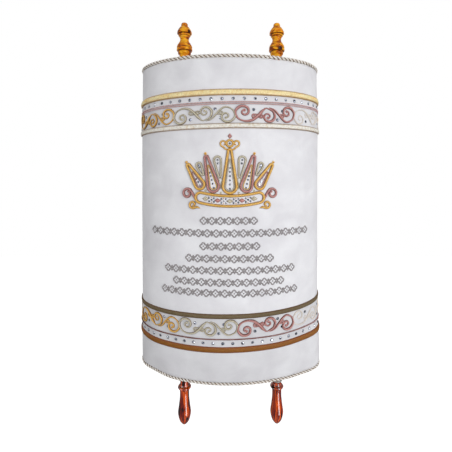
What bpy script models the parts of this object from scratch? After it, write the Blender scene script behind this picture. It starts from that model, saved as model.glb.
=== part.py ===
"""Torah mantle on its two scroll rollers, in metres, +Z up, with the front towards -Y.

The mantle is an oval velvet tube that hangs from a stiff top panel. The panel lies on the upper
discs of two wooden rollers, whose finials pass up through its two holes. The origin is on the
underside of the top panel, at the middle of its oval. "Below" is always measured down from the
top of the rope that edges the panel.
"""
import math

import bmesh
import bpy
from mathutils import Vector

# Mantle: outer sizes of the oval tube
HALF_WIDTH = 0.185
HALF_DEPTH_TOP = 0.1036
HALF_DEPTH_MID = 0.1258
HALF_DEPTH_HEM = 0.0999
MANTLE_HEIGHT = 0.607
CLOTH = 0.0025
PANEL_THICKNESS = 0.005
GAP = 0.0003
COLUMNS = 60

# Ropes on the top seam and round the hem
TOP_ROPE_RADIUS = 0.0035
HEM_ROPE_RADIUS = 0.00275
ROPE_SIDES = 6

TOP_Z = PANEL_THICKNESS + GAP + 2 * TOP_ROPE_RADIUS
WALL_TOP = GAP + 2 * TOP_ROPE_RADIUS
WALL_FOOT = MANTLE_HEIGHT - GAP - 2 * HEM_ROPE_RADIUS

# Heights below the top at which the wall has a ring of points
WALL_ROWS = (WALL_TOP, 0.013, 0.022, 0.034, 0.055, 0.100, 0.150, 0.210, 0.280, 0.350,
             0.420, 0.460, 0.500, 0.521, 0.545, 0.565, 0.585, WALL_FOOT)

# Soft dents in the velvet: degrees round from the front, height below the top, reach each way, depth;
# one with a depth below zero stands out
DENTS = (
    {"around": -36, "below": 0.034, "reach_deg": 17, "reach": 0.026, "depth": 0.0030},
    {"around": 37, "below": 0.034, "reach_deg": 20, "reach": 0.026, "depth": 0.0026},
    {"around": 158, "below": 0.040, "reach_deg": 26, "reach": 0.032, "depth": 0.0026},
    {"around": -24, "below": 0.575, "reach_deg": 18, "reach": 0.022, "depth": 0.0020},
    {"around": 30, "below": 0.570, "reach_deg": 16, "reach": 0.022, "depth": 0.0014},
    {"around": -150, "below": 0.572, "reach_deg": 22, "reach": 0.024, "depth": 0.0020},
    {"around": 68, "below": 0.607, "reach_deg": 26, "reach": 0.150, "depth": -0.0070},
    {"around": -52, "below": 0.607, "reach_deg": 22, "reach": 0.045, "depth": 0.0030},
)

# Flat trims that run round the wall: height of their middle below the top, how much higher they sit on
# the right and lower on the left, width, thickness
TRIMS = {
    "upper_gold_braid": {"below": 0.0738, "slope": 0.0025, "width": 0.0116, "thick": 0.0018,
                         "look": "gold"},
    "upper_rose_cord": {"below": 0.0935, "slope": 0.0025, "width": 0.0046, "thick": 0.0018,
                        "look": "rose"},
    "upper_champagne_braid": {"below": 0.1345, "slope": 0.0025, "width": 0.0092, "thick": 0.0018,
                              "look": "champagne"},
    "lower_olive_braid": {"below": 0.4710, "slope": 0.0036, "width": 0.0084, "thick": 0.0016,
                          "look": "olive"},
    "lower_rose_cord": {"below": 0.5128, "slope": 0.0036, "width": 0.0026, "thick": 0.0016,
                        "look": "rose"},
    "lower_bronze_braid": {"below": 0.5330, "slope": 0.0036, "width": 0.0110, "thick": 0.0018,
                           "look": "bronze"},
}
TRIM_LIFT = 0.00045
TRIM_CROWN_SHARE = 0.72

# Crown of raised cords on the front; u is the way right and v the way up from its foot
CROWN_FOOT_BELOW = 0.280
CORD_LIFT = 0.00045
CORD_HEIGHT = 0.0022
CORD_STEP = 0.005
GOLD_CORD = 0.0042
ROSE_CORD = 0.0040
CHAMPAGNE_CORD = 0.0032
CORD_TOP_SHARE = 0.55
BAND_HALF_LENGTH = 0.052
BAND_HALF_HEIGHT = 0.009
BAND_MIDDLE_V = 0.013
BAND_BEND_RADIUS = 0.230

# Each loop of cord is a drop: its big round end, the length to its small end, and its lean
CROWN_DROPS = {
    "crown_point_center": {"u": 0.0, "v": 0.0390, "big": 0.0120, "small": 0.0028, "length": 0.0620,
                           "lean": 0, "cord": GOLD_CORD, "look": "gold"},
    "crown_point_inner": {"u": 0.0292, "v": 0.0392, "big": 0.0100, "small": 0.0028, "length": 0.0520,
                          "lean": 14, "cord": ROSE_CORD, "look": "rose"},
    "crown_point_outer": {"u": 0.0535, "v": 0.0422, "big": 0.0085, "small": 0.0026, "length": 0.0400,
                          "lean": 33, "cord": GOLD_CORD, "look": "gold"},
    "crown_drop_inner": {"u": 0.0218, "v": 0.0850, "big": 0.0062, "small": 0.0022, "length": 0.0270,
                         "lean": 188, "cord": CHAMPAGNE_CORD, "look": "champagne"},
    "crown_drop_outer": {"u": 0.0553, "v": 0.0760, "big": 0.0046, "small": 0.0020, "length": 0.0170,
                         "lean": 203, "cord": CHAMPAGNE_CORD, "look": "champagne"},
}
ORB_V = 0.1141
ORB_RADIUS = 0.0058
TIP_V = 0.1270
TIP_HALF_WIDTH = 0.0040
TIP_HALF_HEIGHT = 0.0050
LOZENGE_COUNT = 5
LOZENGE_PITCH = 0.0215
LOZENGE_HALF_WIDTH = 0.0062
LOZENGE_HALF_HEIGHT = 0.0042
LOZENGE_HEIGHT = 0.0018

# Scroll rollers
POLE_RADIUS = 0.012
DISC_RADIUS = 0.072
DISC_THICKNESS = 0.015
DISC_EDGE = 0.002
HUB_RADIUS = 0.021
HUB_TAPER = 0.014
HUB_FOOT_RADIUS = 0.0096
HOLE_RADIUS = 0.0132
LOWER_DISC_TOP_BELOW = 0.574
ROLLERS = {
    "left": {"x": -0.0972, "finial_tip_above": 0.1049, "hub_foot_below": 0.653, "handle_tip_below": 0.7546},
    "right": {"x": 0.1005, "finial_tip_above": 0.1042, "hub_foot_below": 0.662, "handle_tip_below": 0.7529},
}
TURNED_SIDES = 16
DISC_SIDES = 32

# Finial profile: drop below its tip, radius
FINIAL_PROFILE = (
    (0.0000, 0.0040), (0.0020, 0.0062), (0.0085, 0.0078), (0.0105, 0.0098), (0.0150, 0.0130),
    (0.0220, 0.0152), (0.0250, 0.0140), (0.0265, 0.0126), (0.0312, 0.0112), (0.0360, 0.0091),
    (0.0440, 0.0115), (0.0510, 0.0158), (0.0600, 0.0163), (0.0625, 0.0140), (0.0670, 0.0134),
    (0.0710, 0.0106),
)
# The part of the finial behind the rope: height above its foot, radius
FINIAL_FOOT = ((0.0300, 0.0106), (0.0180, 0.0150), (0.0090, 0.0150), (0.0075, 0.0120), (0.0, 0.0120))

# Handle profile: height above its tip, radius
HANDLE_PROFILE = (
    (0.0000, 0.0014), (0.0013, 0.0036), (0.0048, 0.0068), (0.0100, 0.0101), (0.0170, 0.0124),
    (0.0250, 0.0137), (0.0390, 0.0121), (0.0480, 0.0110), (0.0580, 0.0099), (0.0740, 0.0099),
    (0.0801, 0.0140), (0.0870, 0.0093),
)
HANDLE_NECK_RADIUS = 0.0093

# Colour, roughness and metallic value of each look
LOOKS = {
    "velvet": ((0.82, 0.82, 0.83), 0.85, 0.0),
    "rope": ((0.66, 0.61, 0.55), 0.70, 0.0),
    "gold": ((0.80, 0.55, 0.20), 0.40, 0.5),
    "champagne": ((0.74, 0.71, 0.58), 0.45, 0.4),
    "rose": ((0.48, 0.24, 0.22), 0.50, 0.3),
    "olive": ((0.22, 0.17, 0.08), 0.55, 0.3),
    "bronze": ((0.34, 0.19, 0.06), 0.50, 0.4),
    "honey_wood": ((0.62, 0.28, 0.05), 0.35, 0.0),
    "red_wood": ((0.30, 0.05, 0.02), 0.20, 0.0),
    "plain_wood": ((0.60, 0.45, 0.30), 0.60, 0.0),
    "grey_hub": ((0.50, 0.53, 0.50), 0.45, 0.2),
}


def clear_scene():
    for old in list(bpy.data.objects):
        bpy.data.objects.remove(old, do_unlink=True)


def material(look):
    """The Principled material of a look, made once."""
    found = bpy.data.materials.get(look)
    if found:
        return found
    colour, roughness, metallic = LOOKS[look]
    made = bpy.data.materials.new(look)
    made.use_nodes = True
    shader = made.node_tree.nodes["Principled BSDF"]
    shader.inputs["Base Color"].default_value = (*colour, 1.0)
    shader.inputs["Roughness"].default_value = roughness
    shader.inputs["Metallic"].default_value = metallic
    return made


def add_object(name, points, faces, look, smooth_angle=40):
    """A closed mesh object with its faces pointing out and its own material."""
    mesh = bpy.data.meshes.new(name)
    mesh.from_pydata([tuple(point) for point in points], [], faces)
    body = bmesh.new()
    body.from_mesh(mesh)
    bmesh.ops.recalc_face_normals(body, faces=body.faces)
    body.to_mesh(mesh)
    body.free()
    mesh.shade_smooth()
    mesh.set_sharp_from_angle(angle=math.radians(smooth_angle))
    mesh.materials.append(material(look))
    made = bpy.data.objects.new(name, mesh)
    bpy.context.collection.objects.link(made)
    return made


def tube_faces(rings, sides, closed):
    """Quads between rings of points, joined end to end or capped."""
    faces = []
    for ring in range(rings if closed else rings - 1):
        following = (ring + 1) % rings
        for side in range(sides):
            beside = (side + 1) % sides
            faces.append((ring * sides + side, ring * sides + beside,
                          following * sides + beside, following * sides + side))
    if not closed:
        faces.append(tuple(range(sides)))
        faces.append(tuple(range((rings - 1) * sides, rings * sides)))
    return faces


def half_depth(below):
    """Half the oval's size from front to back, fuller at mid height."""
    up = 1.0 - below / MANTLE_HEIGHT
    straight = HALF_DEPTH_HEM + (HALF_DEPTH_TOP - HALF_DEPTH_HEM) * up
    swell = HALF_DEPTH_MID - (HALF_DEPTH_TOP + HALF_DEPTH_HEM) / 2
    return straight + swell * (1.0 - abs(2.0 * up - 1.0) ** 4)


def dent_depth(degrees, below):
    """How far the velvet is pressed in at a place on the wall."""
    depth = 0.0
    for dent in DENTS:
        turn = (degrees - dent["around"] + 180) % 360 - 180
        away = math.hypot(turn / dent["reach_deg"], (below - dent["below"]) / dent["reach"])
        if away < 1.0:
            depth += dent["depth"] * math.cos(away * math.pi / 2) ** 2
    return depth


def outward(column, below):
    """The oval's outward direction; column counts round from the front and may be a fraction."""
    angle = math.tau * column / COLUMNS
    depth = half_depth(below)
    return Vector((depth * math.sin(angle), -HALF_WIDTH * math.cos(angle), 0.0)).normalized()


def wall_point(column, row, out=0.0):
    """A corner of the wall's outer facets, moved out by a distance."""
    below = WALL_ROWS[row]
    angle = math.tau * column / COLUMNS
    base = Vector((HALF_WIDTH * math.sin(angle), -half_depth(below) * math.cos(angle), TOP_Z - below))
    return base + outward(column, below) * (out - dent_depth(math.degrees(angle), below))


def on_wall(column, below, out):
    """A place on the wall's outer facets at any height and fraction of a column, moved out."""
    row = max(number for number in range(len(WALL_ROWS) - 1) if WALL_ROWS[number] <= below)
    down = (below - WALL_ROWS[row]) / (WALL_ROWS[row + 1] - WALL_ROWS[row])
    first = math.floor(column)
    along = column - first
    upper = wall_point(first, row).lerp(wall_point(first + 1, row), along)
    lower = wall_point(first, row + 1).lerp(wall_point(first + 1, row + 1), along)
    return upper.lerp(lower, down) + outward(column, below) * out


def add_wall():
    """The velvet tube, open at top and hem, as one closed sheet of cloth."""
    points = []
    for column in range(COLUMNS):
        points += [wall_point(column, row) for row in range(len(WALL_ROWS))]
        points += [wall_point(column, row, -CLOTH) for row in reversed(range(len(WALL_ROWS)))]
    add_object("mantle_wall", points, tube_faces(COLUMNS, 2 * len(WALL_ROWS), True), "velvet", 60)


def add_cylinder(name, x, radius, z_low, z_high, sides):
    points = []
    for z in (z_low, z_high):
        for side in range(sides):
            angle = math.tau * side / sides
            points.append((x + radius * math.cos(angle), radius * math.sin(angle), z))
    return add_object(name, points, tube_faces(2, sides, False), "velvet")


def add_top_panel():
    """The stiff oval top with a hole for each roller."""
    points = []
    for z in (0.0, PANEL_THICKNESS):
        for column in range(COLUMNS):
            corner = wall_point(column, 0, -CLOTH - GAP)
            points.append((corner.x, corner.y, z))
    panel = add_object("top_panel", points, tube_faces(2, COLUMNS, False), "velvet")
    for roller in ROLLERS.values():
        cutter = add_cylinder("hole_cutter", roller["x"], HOLE_RADIUS, -0.01, 0.02, TURNED_SIDES)
        cutter.hide_render = True
        cutter.display_type = "WIRE"
        cut = panel.modifiers.new("hole", "BOOLEAN")
        cut.operation = "DIFFERENCE"
        cut.object = cutter


def add_rope(name, row, radius, middle_z):
    """A round cord along the wall's edge, centred on the cloth's thickness."""
    points = []
    for column in range(COLUMNS):
        corner = wall_point(column, row, -CLOTH / 2)
        away = outward(column, WALL_ROWS[row])
        for side in range(ROPE_SIDES):
            angle = math.tau * (side + 0.5) / ROPE_SIDES
            height = middle_z + radius * math.sin(angle)
            place = corner + away * radius * math.cos(angle)
            points.append((place.x, place.y, height))
    add_object(name, points, tube_faces(COLUMNS, ROPE_SIDES, True), "rope", 70)


def add_trim(name, below, slope, width, thick, look):
    """A flat braid or cord round the wall, a little narrower at its raised face."""
    section = ((-width / 2, TRIM_LIFT), (width / 2, TRIM_LIFT),
               (width / 2 * TRIM_CROWN_SHARE, TRIM_LIFT + thick),
               (-width / 2 * TRIM_CROWN_SHARE, TRIM_LIFT + thick))
    points = []
    for column in range(COLUMNS):
        middle = below - slope * math.sin(math.tau * column / COLUMNS)
        points += [on_wall(column, middle + down, out) for down, out in section]
    add_object(name, points, tube_faces(COLUMNS, len(section), True), look)


def column_at(u):
    """The column, as a fraction, that lies a distance u round the wall from the front."""
    depth = half_depth(CROWN_FOOT_BELOW)
    step = 0.05
    column = 0.0
    walked = 0.0
    while walked < abs(u):
        angle = math.tau * (column + step / 2) / COLUMNS
        speed = math.hypot(HALF_WIDTH * math.cos(angle), depth * math.sin(angle))
        walked += speed * math.tau * step / COLUMNS
        column += step
    if walked > 0.0:
        column *= abs(u) / walked
    return math.copysign(column, u)


def on_crown(u, v, out):
    return on_wall(column_at(u), CROWN_FOOT_BELOW - v, out)


def heading(degrees):
    """Unit direction on the crown, in degrees clockwise from straight up."""
    return Vector((math.sin(math.radians(degrees)), math.cos(math.radians(degrees))))


def arc(middle, radius, start, end):
    """Points on an arc between two headings, spaced for a smooth cord."""
    steps = max(4, math.ceil(abs(math.radians(end - start)) * radius / CORD_STEP))
    return [middle + heading(start + (end - start) * step / steps) * radius for step in range(steps + 1)]


def spaced(path):
    """A closed path with extra points on its long straight runs."""
    result = []
    for number, point in enumerate(path):
        following = path[(number + 1) % len(path)]
        steps = max(1, math.ceil((following - point).length / CORD_STEP))
        result += [point.lerp(following, step / steps) for step in range(steps)]
    return result


def drop_path(drop, side):
    """A closed drop: a small round end and a big one, joined by straight sides."""
    big_middle = Vector((drop["u"], drop["v"]))
    small_middle = big_middle + heading(drop["lean"]) * drop["length"]
    spread = math.degrees(math.acos((drop["big"] - drop["small"]) / drop["length"]))
    path = arc(small_middle, drop["small"], drop["lean"] - spread, drop["lean"] + spread)
    path += arc(big_middle, drop["big"], drop["lean"] + spread, drop["lean"] + 360 - spread)
    return spaced([Vector((point.x * side, point.y)) for point in path])


def band_path():
    """The crown's base: a long rounded band that sags in the middle."""
    middle = []
    steps = math.ceil(2 * BAND_HALF_LENGTH / CORD_STEP)
    for step in range(steps + 1):
        u = BAND_HALF_LENGTH * (2 * step / steps - 1)
        middle.append(Vector((u, BAND_MIDDLE_V + u * u / (2 * BAND_BEND_RADIUS))))
    end_lean = math.degrees(math.asin(BAND_HALF_LENGTH / BAND_BEND_RADIUS))
    upper = []
    lower = []
    for point in middle:
        across = heading(-math.degrees(math.asin(point.x / BAND_BEND_RADIUS)))
        upper.append(point + across * BAND_HALF_HEIGHT)
        lower.append(point - across * BAND_HALF_HEIGHT)
    right = arc(middle[-1], BAND_HALF_HEIGHT, -end_lean, 180 - end_lean)
    left = arc(middle[0], BAND_HALF_HEIGHT, 180 + end_lean, 360 + end_lean)
    return spaced(upper + right[1:-1] + lower[::-1] + left[1:-1])


def add_loop(name, path, width, look):
    """A raised cord along a closed path on the front of the wall."""
    section = ((-width / 2, CORD_LIFT), (width / 2, CORD_LIFT),
               (width / 2 * CORD_TOP_SHARE, CORD_LIFT + CORD_HEIGHT),
               (-width / 2 * CORD_TOP_SHARE, CORD_LIFT + CORD_HEIGHT))
    points = []
    for number, point in enumerate(path):
        along = (path[(number + 1) % len(path)] - path[number - 1]).normalized()
        across = Vector((along.y, -along.x))
        for shift, out in section:
            place = point + across * shift
            points.append(on_crown(place.x, place.y, out))
    add_object(name, points, tube_faces(len(path), len(section), True), look)


def add_lozenge(name, u, v, half_width, half_height, look):
    """A raised diamond, its top a little smaller than its foot."""
    points = []
    for share, out in ((1.0, CORD_LIFT), (0.6, CORD_LIFT + LOZENGE_HEIGHT)):
        corners = ((half_width, 0), (0, half_height), (-half_width, 0), (0, -half_height))
        points += [on_crown(u + right * share, v + up * share, out) for right, up in corners]
    add_object(name, points, tube_faces(2, 4, False), look)


def add_crown():
    for name, drop in CROWN_DROPS.items():
        sides = {"": 1} if drop["u"] == 0.0 else {"_left": -1, "_right": 1}
        for ending, side in sides.items():
            add_loop(name + ending, drop_path(drop, side), drop["cord"], drop["look"])
    add_loop("crown_band", band_path(), GOLD_CORD, "gold")
    ring = arc(Vector((0.0, ORB_V)), ORB_RADIUS, 0, 360)[:-1]
    add_loop("crown_orb", ring, CHAMPAGNE_CORD, "gold")
    add_lozenge("crown_tip", 0.0, TIP_V, TIP_HALF_WIDTH, TIP_HALF_HEIGHT, "rose")
    for number in range(LOZENGE_COUNT):
        u = (number - (LOZENGE_COUNT - 1) / 2) * LOZENGE_PITCH
        v = BAND_MIDDLE_V + u * u / (2 * BAND_BEND_RADIUS)
        look = "champagne" if number % 2 == 0 else "rose"
        add_lozenge(f"crown_lozenge_{number + 1}", u, v, LOZENGE_HALF_WIDTH, LOZENGE_HALF_HEIGHT, look)


def add_turned(name, x, profile, sides, look):
    """A turned piece from a profile of (z, radius) rows."""
    points = []
    for z, radius in profile:
        for side in range(sides):
            angle = math.tau * side / sides
            points.append((x + radius * math.cos(angle), radius * math.sin(angle), z))
    add_object(name, points, tube_faces(len(profile), sides, False), look)


def add_disc(name, x, top_z):
    foot_z = top_z - DISC_THICKNESS
    rim = DISC_RADIUS - DISC_EDGE
    profile = ((top_z, rim), (top_z - DISC_EDGE, DISC_RADIUS),
               (foot_z + DISC_EDGE, DISC_RADIUS), (foot_z, rim))
    add_turned(name, x, profile, DISC_SIDES, "plain_wood")
    return foot_z


def add_roller(label, x, finial_tip_above, hub_foot_below, handle_tip_below):
    """One roller from its finial down: upper disc, pole, lower disc, hub and handle."""
    tip_z = TOP_Z + finial_tip_above
    finial = [(tip_z - drop, radius) for drop, radius in FINIAL_PROFILE] + list(FINIAL_FOOT)
    add_turned(f"finial_{label}", x, finial, TURNED_SIDES, "honey_wood")
    upper_foot = add_disc(f"upper_disc_{label}", x, -GAP)
    lower_top = TOP_Z - LOWER_DISC_TOP_BELOW
    pole = ((upper_foot - GAP, POLE_RADIUS), (lower_top + GAP, POLE_RADIUS))
    add_turned(f"pole_{label}", x, pole, TURNED_SIDES, "plain_wood")
    lower_foot = add_disc(f"lower_disc_{label}", x, lower_top)
    hub_foot = TOP_Z - hub_foot_below
    hub = ((lower_foot - GAP, HUB_RADIUS), (hub_foot + HUB_TAPER, HUB_RADIUS), (hub_foot, HUB_FOOT_RADIUS))
    add_turned(f"hub_{label}", x, hub, TURNED_SIDES, "grey_hub")
    handle_tip = TOP_Z - handle_tip_below
    handle = [(handle_tip + rise, radius) for rise, radius in HANDLE_PROFILE]
    handle.append((hub_foot - GAP, HANDLE_NECK_RADIUS))
    add_turned(f"handle_{label}", x, handle, TURNED_SIDES, "red_wood")


def main():
    clear_scene()
    add_wall()
    add_top_panel()
    add_rope("top_rope", 0, TOP_ROPE_RADIUS, TOP_Z - TOP_ROPE_RADIUS)
    add_rope("hem_rope", len(WALL_ROWS) - 1, HEM_ROPE_RADIUS, TOP_Z - MANTLE_HEIGHT + HEM_ROPE_RADIUS)
    for name, trim in TRIMS.items():
        add_trim(name, **trim)
    add_crown()
    for label, roller in ROLLERS.items():
        add_roller(label, **roller)


main()
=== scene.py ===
"""Looks of the torah mantle on its two scroll rollers: velvet, ropes, braids, couched embroidery,
set stones and turned wood, with a pale floor, soft light and the camera.

All sizes are in metres. "Below" is measured down from the top of the rope on the top seam, "u" runs
round the wall from the middle of the front, positive to the right, and "out" is away from the wall.
"""
import collections
import functools
import math

import bmesh
import bpy
import numpy as np
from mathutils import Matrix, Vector


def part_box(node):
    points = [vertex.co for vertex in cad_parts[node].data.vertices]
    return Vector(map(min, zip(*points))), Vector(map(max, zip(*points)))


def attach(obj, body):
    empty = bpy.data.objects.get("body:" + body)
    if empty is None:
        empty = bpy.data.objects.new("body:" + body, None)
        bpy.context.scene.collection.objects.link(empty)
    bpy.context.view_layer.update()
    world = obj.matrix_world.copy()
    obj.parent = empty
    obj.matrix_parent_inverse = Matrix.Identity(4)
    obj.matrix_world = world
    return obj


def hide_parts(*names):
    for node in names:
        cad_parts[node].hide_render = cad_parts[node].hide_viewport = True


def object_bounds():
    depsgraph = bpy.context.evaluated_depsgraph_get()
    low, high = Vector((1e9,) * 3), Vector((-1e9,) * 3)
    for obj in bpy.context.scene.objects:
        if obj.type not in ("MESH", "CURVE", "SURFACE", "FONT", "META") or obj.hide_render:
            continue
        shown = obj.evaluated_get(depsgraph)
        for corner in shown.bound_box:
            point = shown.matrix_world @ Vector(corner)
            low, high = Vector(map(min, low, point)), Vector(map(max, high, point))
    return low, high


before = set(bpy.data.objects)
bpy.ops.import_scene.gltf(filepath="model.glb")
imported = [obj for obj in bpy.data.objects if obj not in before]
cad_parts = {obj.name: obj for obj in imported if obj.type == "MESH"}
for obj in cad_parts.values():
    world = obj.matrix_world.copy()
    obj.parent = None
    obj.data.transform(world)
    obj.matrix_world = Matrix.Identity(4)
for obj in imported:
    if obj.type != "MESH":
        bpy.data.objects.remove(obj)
cad_low, cad_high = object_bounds()

# Mantle sizes, as in the frame
WALL_LOW, WALL_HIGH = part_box("mantle_wall")
TOP_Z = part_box("top_rope")[1][2]
HALF_WIDTH = 0.185
HALF_DEPTH_TOP = 0.1036
HALF_DEPTH_MID = 0.1258
HALF_DEPTH_HEM = 0.0999
MANTLE_HEIGHT = 0.607
CLOTH = 0.0025
WALL_TOP = TOP_Z - WALL_HIGH[2]
WALL_FOOT = TOP_Z - WALL_LOW[2]
# Height where the length round the wall is taken, and how much cloth turns in at the hem
MIDDLE_BELOW = 0.3
TOP_ROPE_RADIUS = 0.0035
HEM_ROPE_RADIUS = 0.00275
# Length of one turn of each rope, and the steps in it
TOP_ROPE_LAY = (0.0168, 18)
HEM_ROPE_LAY = (0.0142, 16)

# Soft dents in the velvet: degrees round from the front, height, reach round in degrees, reach up and down,
# depth; one with a depth below zero stands out
DENTS = (
    (-36, 0.034, 17, 0.026, 0.0030), (37, 0.034, 20, 0.026, 0.0026), (158, 0.040, 26, 0.032, 0.0026),
    (-24, 0.575, 18, 0.022, 0.0020), (30, 0.570, 16, 0.022, 0.0014), (-150, 0.572, 22, 0.024, 0.0020),
    (68, 0.607, 26, 0.150, -0.0070), (-52, 0.607, 22, 0.045, 0.0030),
)
# Slow waves of the hanging cloth: waves round the mantle, waves per metre of height, phase, depth
RIPPLES = ((5, 3.1, 0.6, 0.00035), (9, -4.3, 2.1, 0.00022), (14, 7.7, 4.0, 0.00012))

# Braids: the node each one stands for, height of its middle, width and thickness
BRAIDS = {
    "upper_gold_braid": {"below": 0.0738, "width": 0.0118, "thick": 0.0032},
    "upper_champagne_braid": {"below": 0.1345, "width": 0.0096, "thick": 0.0030},
    "lower_olive_braid": {"below": 0.4710, "width": 0.0086, "thick": 0.0020},
    "lower_bronze_braid": {"below": 0.5330, "width": 0.0112, "thick": 0.0022},
}
# The bands sit a little higher on the right and lower on the left: height, and how much there
BAND_SLOPE = ((0.050, 0.0), (0.062, 0.0025), (0.150, 0.0025), (0.165, 0.0), (0.445, 0.0), (0.460, 0.0036),
              (0.548, 0.0036), (0.560, 0.0))
BRAID_RIDGE = 0.0024
BRAID_RIDGE_DEPTH = 0.00022
BRAID_SLANT = 0.9
# Thickness at a braid's edge as a share of its middle, and the same for its ridges
BRAID_EDGE = 0.3
BRAID_RIDGE_EDGE = 0.2
BRAID_STEPS = 2600
BRAID_ROWS = 9

# Camera of the photograph, in pixels of its 452 by 452 frame and in metres
PHOTO_SIZE = 452
SENSOR = 36.0
FOCAL_PX = 319.1
CENTRE_PX = (229.85, 175.45)
CAMERA_DISTANCE = 0.6845
CAMERA_BELOW_TOP = 0.222


def srgb(red, green, blue):
    """Linear colour with alpha from the 0 to 255 values that a screen shows."""
    def linear(value):
        share = value / 255.0
        return share / 12.92 if share <= 0.04045 else ((share + 0.055) / 1.055) ** 2.4
    return (linear(red), linear(green), linear(blue), 1.0)


def placed(name, data):
    """A new object in the scene, made of a mesh, a light or a camera."""
    made = bpy.data.objects.new(name, data)
    bpy.context.collection.objects.link(made)
    return made


# Materials

class Nodes:
    """A node tree in the making, with short calls for the nodes that repeat."""

    def __init__(self, tree):
        self.tree = tree

    def node(self, kind, **values):
        made = self.tree.nodes.new(kind)
        for key, value in values.items():
            if key in made.inputs:
                made.inputs[key].default_value = value
            else:
                setattr(made, key, value)
        return made

    def link(self, start, end):
        self.tree.links.new(start, end)

    def split(self, vector):
        made = self.node("ShaderNodeSeparateXYZ")
        self.link(vector, made.inputs["Vector"])
        return made.outputs

    def ramp(self, factor, stops):
        made = self.node("ShaderNodeValToRGB")
        elements = made.color_ramp.elements
        while len(elements) < len(stops):
            elements.new(0.5)
        for element, (place, colour) in zip(elements, stops):
            element.position = place
            element.color = colour
        self.link(factor, made.inputs["Fac"])
        return made.outputs["Color"]


class Look(Nodes):
    """A material on one Principled shader."""

    def __init__(self, name, roughness=0.6, metallic=0.0, **sockets):
        self.material = bpy.data.materials.new(name)
        self.material.use_nodes = True
        super().__init__(self.material.node_tree)
        self.shader = self.tree.nodes["Principled BSDF"]
        self.shader.inputs["Roughness"].default_value = roughness
        self.shader.inputs["Metallic"].default_value = metallic
        for socket, value in sockets.items():
            self.shader.inputs[socket.replace("_", " ")].default_value = value
        self.bumps = None

    def coordinates(self, source="Object", scale=(1, 1, 1), turn=0.0):
        coords = self.node("ShaderNodeTexCoord")
        mapping = self.node("ShaderNodeMapping")
        mapping.inputs["Scale"].default_value = scale
        mapping.inputs["Rotation"].default_value = (0.0, 0.0, turn)
        self.link(coords.outputs[source], mapping.inputs["Vector"])
        return mapping.outputs["Vector"]

    def noise(self, vector, scale, detail=2.0, distortion=0.0):
        made = self.node("ShaderNodeTexNoise", Scale=scale, Detail=detail, Distortion=distortion)
        self.link(vector, made.inputs["Vector"])
        return made.outputs["Fac"]

    def wave(self, vector, scale, distortion, detail_scale):
        made = self.node("ShaderNodeTexWave", Scale=scale, Distortion=distortion)
        made.inputs["Detail Scale"].default_value = detail_scale
        self.link(vector, made.inputs["Vector"])
        return made.outputs["Fac"]

    def mix(self, factor, first, second, kind="MIX"):
        made = self.node("ShaderNodeMix", data_type="RGBA", blend_type=kind)
        if isinstance(factor, float):
            made.inputs[0].default_value = factor
        else:
            self.link(factor, made.inputs[0])
        for socket, value in ((6, first), (7, second)):
            if isinstance(value, tuple):
                made.inputs[socket].default_value = value
            else:
                self.link(value, made.inputs[socket])
        return made.outputs[2]

    def colour(self, value):
        self.link(value, self.shader.inputs["Base Color"])

    def bump(self, height, distance, strength=1.0):
        made = self.node("ShaderNodeBump", Distance=distance, Strength=strength)
        self.link(height, made.inputs["Height"])
        if self.bumps is not None:
            self.link(self.bumps, made.inputs["Normal"])
        self.bumps = made.outputs["Normal"]
        self.link(self.bumps, self.shader.inputs["Normal"])


# Painted shade on the velvet down the wall, in linear light: a little darker just under the top, between
# the braids of each band and towards the hem. Height below the top, brightness
VELVET_PAINTED_SHADE = ((0.000, 0.96), (0.074, 0.98), (0.078, 0.92), (0.131, 0.93), (0.138, 1.00), (0.445, 1.00),
                (0.470, 0.96), (0.474, 0.83), (0.530, 0.84), (0.536, 0.92), (0.607, 0.89))


def velvet_look():
    look = Look("velvet", roughness=0.88, Sheen_Weight=0.35, Sheen_Roughness=0.45,
                Specular_IOR_Level=0.25)
    place = look.coordinates()
    nap = look.noise(place, 22.0, 3.0, 0.4)
    pile = look.noise(place, 1500.0, 2.0)
    soft = look.ramp(nap, ((0.30, srgb(226, 225, 229)), (0.70, srgb(240, 240, 243))))
    speck = look.ramp(pile, ((0.25, srgb(226, 226, 230)), (0.75, srgb(255, 255, 255))))
    height = look.node("ShaderNodeMapRange")
    look.link(look.split(place)["Z"], height.inputs["Value"])
    height.inputs["From Min"].default_value = TOP_Z
    height.inputs["From Max"].default_value = TOP_Z - MANTLE_HEIGHT
    # Painted shade: the velvet's colour is darkened by height down the wall
    painted_shade = look.ramp(height.outputs["Result"],
                        [(below / MANTLE_HEIGHT, (tone, tone, tone, 1)) for below, tone in VELVET_PAINTED_SHADE])
    cloth = look.mix(0.35, soft, speck, "MULTIPLY")
    look.colour(look.mix(1.0, cloth, painted_shade, "MULTIPLY"))
    look.bump(nap, 0.0012, 0.35)
    look.bump(pile, 0.0003, 0.5)
    return look.material


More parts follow.
